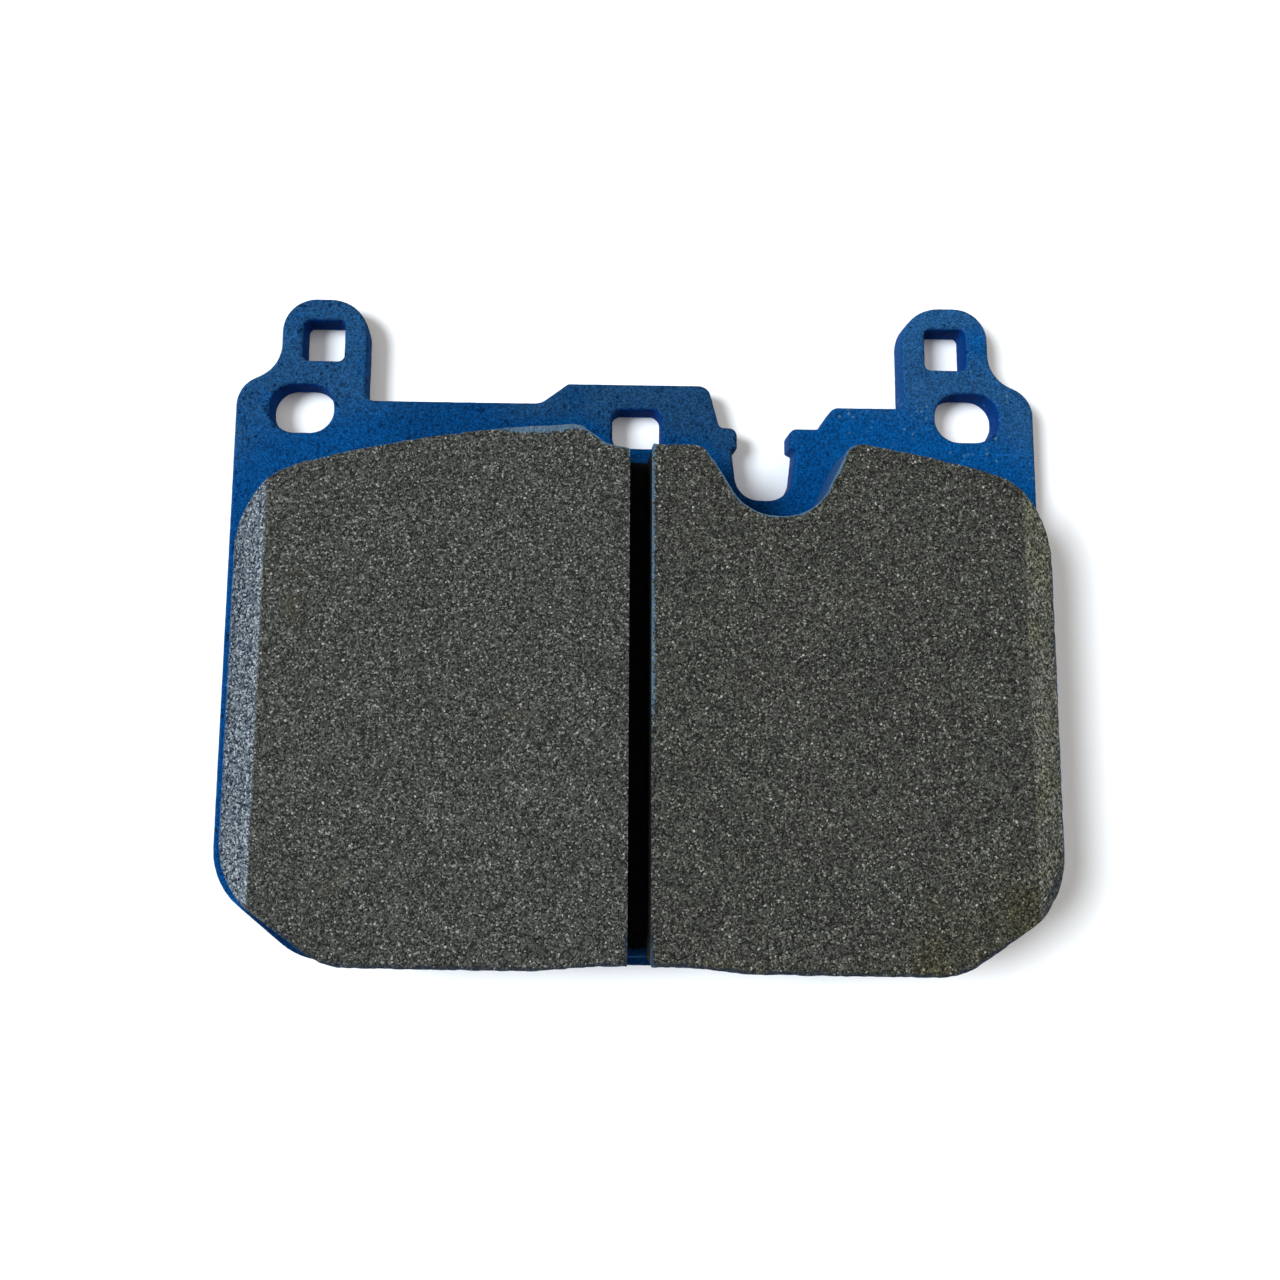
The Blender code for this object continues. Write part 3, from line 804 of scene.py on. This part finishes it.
def friction_material():
    nodes = Nodes("friction_compound")
    chamfer, right = nodes.attribute("chamfer"), nodes.attribute("right")
    across = nodes.attribute("across")
    reach, chance, other = nodes.cells(0.26, nodes.shaken(0.33, 0.1))
    grain = nodes.tones(
        chance,
        (0.0, (0.003, 0.003, 0.003)),
        (0.2, (0.012, 0.012, 0.011)),
        (0.45, (0.039, 0.040, 0.036)),
        (0.8, (0.080, 0.081, 0.073)),
        (0.94, (0.142, 0.144, 0.132)),
        (1.0, (0.29, 0.29, 0.27)),
    )
    fine = nodes.noise(0.2, 2.0)
    grain = nodes.mix(0.9, grain, nodes.tones(fine, (0.3, 0.35), (0.7, 1.5)), "MULTIPLY")
    patch = nodes.noise(7.0, 3.0)
    grain = nodes.mix(1.0, grain, nodes.tones(patch, (0.3, 0.92), (0.7, 1.06)), "MULTIPLY")
    # painted shade and warm light: the right segment darker and warmer
    grain = nodes.mix(1.0, grain, nodes.mix(right, LEFT_TINT, RIGHT_SHADE_WARM_TINT), "MULTIPLY")
    stained = nodes.step(nodes.noise(10.0, 4.0, roughness=0.6), 0.62, 0.74)
    grain = nodes.mix(nodes.math("MULTIPLY", stained, 0.3), grain, STAIN)
    olive = nodes.mix(1.0, grain, STAIN_TINT, "MULTIPLY")
    grain = nodes.mix(nodes.attribute("stain"), grain, olive)

    fleck_reach, fleck_chance, _ = nodes.cells(1.1, nodes.shaken(0.6, 0.2))
    fleck = nodes.math("MULTIPLY", nodes.step(fleck_reach, 0.22, 0.1), nodes.step(fleck_chance, 0.86, 0.9))
    grain = nodes.mix(fleck, grain, FLECK)

    rows = nodes.noise(0.7, 1.0, nodes.scaled(nodes.position, (1.0, 0.05, 0.5)))
    _, salt, _ = nodes.cells(0.28, nodes.shaken(0.3, 0.1))
    salt = nodes.math("ADD", salt, nodes.math("MULTIPLY", nodes.math("SUBTRACT", rows, 0.5), 0.3))
    salt = nodes.math("SUBTRACT", salt, nodes.math("MULTIPLY", across, 0.07))
    left = nodes.math("SUBTRACT", 1.0, right)
    inner_row = nodes.math("MULTIPLY", nodes.step(across, 0.25, 0.0, 0.07), left)
    salt = nodes.math("ADD", salt, inner_row)
    # chamfer tones: paler than the face as fresh cut compound; on the left tinted blue as a painted
    # reflection of a bluish light, on the right warmer as painted warm light
    left_cut_blue_lit = nodes.tones(
        salt,
        (0.16, (0.002, 0.007, 0.020)),
        (0.32, (0.046, 0.061, 0.077)),
        (0.7, (0.126, 0.151, 0.170)),
        (1.0, (0.36, 0.39, 0.41)),
    )
    right_cut_warm_lit = nodes.tones(
        salt,
        (0.12, (0.004, 0.004, 0.003)),
        (0.32, (0.052, 0.054, 0.043)),
        (0.7, (0.122, 0.126, 0.103)),
        (1.0, (0.37, 0.37, 0.32)),
    )
    cut = nodes.mix(right, left_cut_blue_lit, right_cut_warm_lit)
    cut = nodes.mix(1.0, cut, nodes.tones(fine, (0.3, 0.6), (0.7, 1.3)), "MULTIPLY")
    greened = nodes.step(nodes.noise(6.0, 2.0), 0.5, 0.62)
    greened = nodes.math("MULTIPLY", nodes.math("MULTIPLY", greened, right), 0.5)
    cut = nodes.mix(greened, cut, nodes.mix(1.0, cut, GREEN_TINT, "MULTIPLY"))
    colour = nodes.mix(chamfer, grain, cut)

    ragged = nodes.noise(0.6, 4.0, roughness=0.7)
    uneven = nodes.math("SUBTRACT", ragged, 0.5)
    outer = nodes.math("ADD", nodes.step(across, 0.84, 1.0), nodes.math("MULTIPLY", uneven, 1.5))
    colour = nodes.mix(nodes.math("MULTIPLY", nodes.step(outer, 0.5, 0.9), 0.8), colour, DEEP_BLUE)

    coat = nodes.mix(nodes.step(nodes.noise(1.5, 3.0), 0.35, 0.7), DEEP_BLUE, GREYED_BLUE)
    coat = nodes.mix(1.0, coat, nodes.tones(nodes.noise(0.5, 3.0), (0.3, 0.7), (0.7, 1.3)), "MULTIPLY")
    # painted shade: the slot's walls near black
    dark = nodes.mix(nodes.step(nodes.noise(0.6, 3.0), 0.4, 0.7), SLOT_SHADE_BLACK, SLOT_SHADE_DARK)
    wall = nodes.mix(nodes.attribute("slot"), coat, dark)
    covered = nodes.math("ADD", nodes.attribute("paint"), nodes.math("MULTIPLY", uneven, 0.4))
    colour = nodes.mix(nodes.step(covered, 0.5, 0.8), colour, wall)
    # the broken paint edge, drawn pale: partly the paint, partly a painted highlight
    lip_and_highlight = nodes.math("ADD", nodes.attribute("lip_and_highlight"), nodes.math("MULTIPLY", uneven, 1.6))
    edge = nodes.mix(0.75, colour, LIP_AND_HIGHLIGHT_BLUE)
    edge = nodes.mix(1.0, edge, nodes.tones(fine, (0.3, 0.5), (0.7, 1.6)), "MULTIPLY")
    colour = nodes.mix(nodes.step(lip_and_highlight, 0.42, 0.7), colour, edge)

    # painted shade on the rim along the lower edge and round the lower right corner
    rim_shade = nodes.math("ADD", nodes.attribute("rim_shade"), nodes.math("MULTIPLY", uneven, 1.6))
    colour = nodes.mix(nodes.step(rim_shade, 0.45, 0.95, 0.7), colour, RIM_SHADE_NAVY)

    height = nodes.math("ADD", nodes.math("MULTIPLY", other, 0.7), nodes.math("MULTIPLY", fine, 0.5))
    height = nodes.math("SUBTRACT", height, nodes.math("MULTIPLY", reach, 0.6))
    normal = nodes.bump(height, 0.14, 1.0)
    roughness = nodes.math("SUBTRACT", 0.75, nodes.math("MULTIPLY", fleck, 0.35))
    return nodes.finish(colour, roughness, normal, specular=0.2)


def underlayer_material():
    nodes = Nodes("underlayer_compound")
    ragged = nodes.noise(0.7, 3.0)
    black = nodes.mix(nodes.step(ragged, 0.4, 0.7), LAYER_BLACK, LAYER_DARK)
    covered = nodes.math("ADD", nodes.attribute("paint"), nodes.math("SUBTRACT", ragged, 0.5))
    colour = nodes.mix(nodes.step(covered, 0.35, 0.75), black, DEEP_BLUE)
    normal = nodes.bump(nodes.noise(0.5, 3.0), 0.12, 0.9)
    return nodes.finish(colour, 0.8, normal, specular=0.1)


# ---------------------------------------------------------------- floor, light and camera
def make_floor():
    floor = bmesh.new()
    bmesh.ops.create_grid(floor, x_segments=1, y_segments=1, size=FLOOR_HALF_SIZE)
    mesh = bpy.data.meshes.new("floor")
    floor.to_mesh(mesh)
    floor.free()
    material = bpy.data.materials.new("pale_floor")
    material.use_nodes = True
    shader = material.node_tree.nodes["Principled BSDF"]
    shader.inputs["Base Color"].default_value = (FLOOR_GREY, FLOOR_GREY, FLOOR_GREY, 1.0)
    shader.inputs["Roughness"].default_value = 0.9
    shader.inputs["Specular IOR Level"].default_value = 0.0
    mesh.materials.append(material)
    made = bpy.data.objects.new("floor", mesh)
    bpy.context.scene.collection.objects.link(made)


def distant_light(name, azimuth, elevation, strength, spread, colour):
    """A soft light far away, so that the whole floor is lit alike. Azimuth runs from +X towards +Y.

    Angles are in degrees. The strength is the brightness that the light alone would give to a white
    surface facing it, and the spread is how wide it looks from the pad.
    """
    turn, rise = math.radians(azimuth), math.radians(elevation)
    level = math.cos(rise)
    towards = Vector((math.cos(turn) * level, math.sin(turn) * level, math.sin(rise)))
    light = bpy.data.lights.new(name, "SUN")
    light.energy = strength * math.pi
    light.angle = math.radians(spread)
    light.color = colour
    made = bpy.data.objects.new(name, light)
    made.matrix_world = towards.to_track_quat("Z", "Y").to_matrix().to_4x4()
    bpy.context.scene.collection.objects.link(made)


def make_lights():
    """Soft lights, and a white surround that only the camera sees."""
    for settings in LIGHTS:
        distant_light(*settings)
    world = bpy.data.worlds.new("studio")
    bpy.context.scene.world = world
    world.use_nodes = True
    background = world.node_tree.nodes["Background"]
    background.inputs["Color"].default_value = (1.0, 1.0, 1.0, 1.0)
    background.inputs["Strength"].default_value = 1.0
    world.cycles_visibility.diffuse = False
    world.cycles_visibility.glossy = False


def make_camera():
    """Looks down from a little left of and below the pad's middle."""
    back = (CAMERA_PLACE * MM - CAMERA_TARGET * MM).normalized()
    right = CAMERA_UP.cross(back).normalized()
    up = back.cross(right)
    data = bpy.data.cameras.new("camera")
    data.lens = CAMERA_LENS
    data.sensor_width = CAMERA_SENSOR
    data.shift_x, data.shift_y = CAMERA_SHIFT
    data.clip_start = CAMERA_NEAR
    made = bpy.data.objects.new("camera", data)
    turned = Matrix((right, up, back)).transposed().to_4x4()
    made.matrix_world = Matrix.Translation(CAMERA_PLACE * MM) @ turned
    bpy.context.scene.collection.objects.link(made)
    bpy.context.scene.camera = made


def main():
    make_floor()
    make_lights()
    make_camera()
    make_plate(paint_material())
    make_underlayer(underlayer_material())
    compound = friction_material()
    make_segment("friction_face_left", "friction_segment_left", compound, 51)
    make_segment("friction_face_right", "friction_segment_right", compound, 61)
    bpy.context.scene.view_settings.view_transform = "Standard"


main()
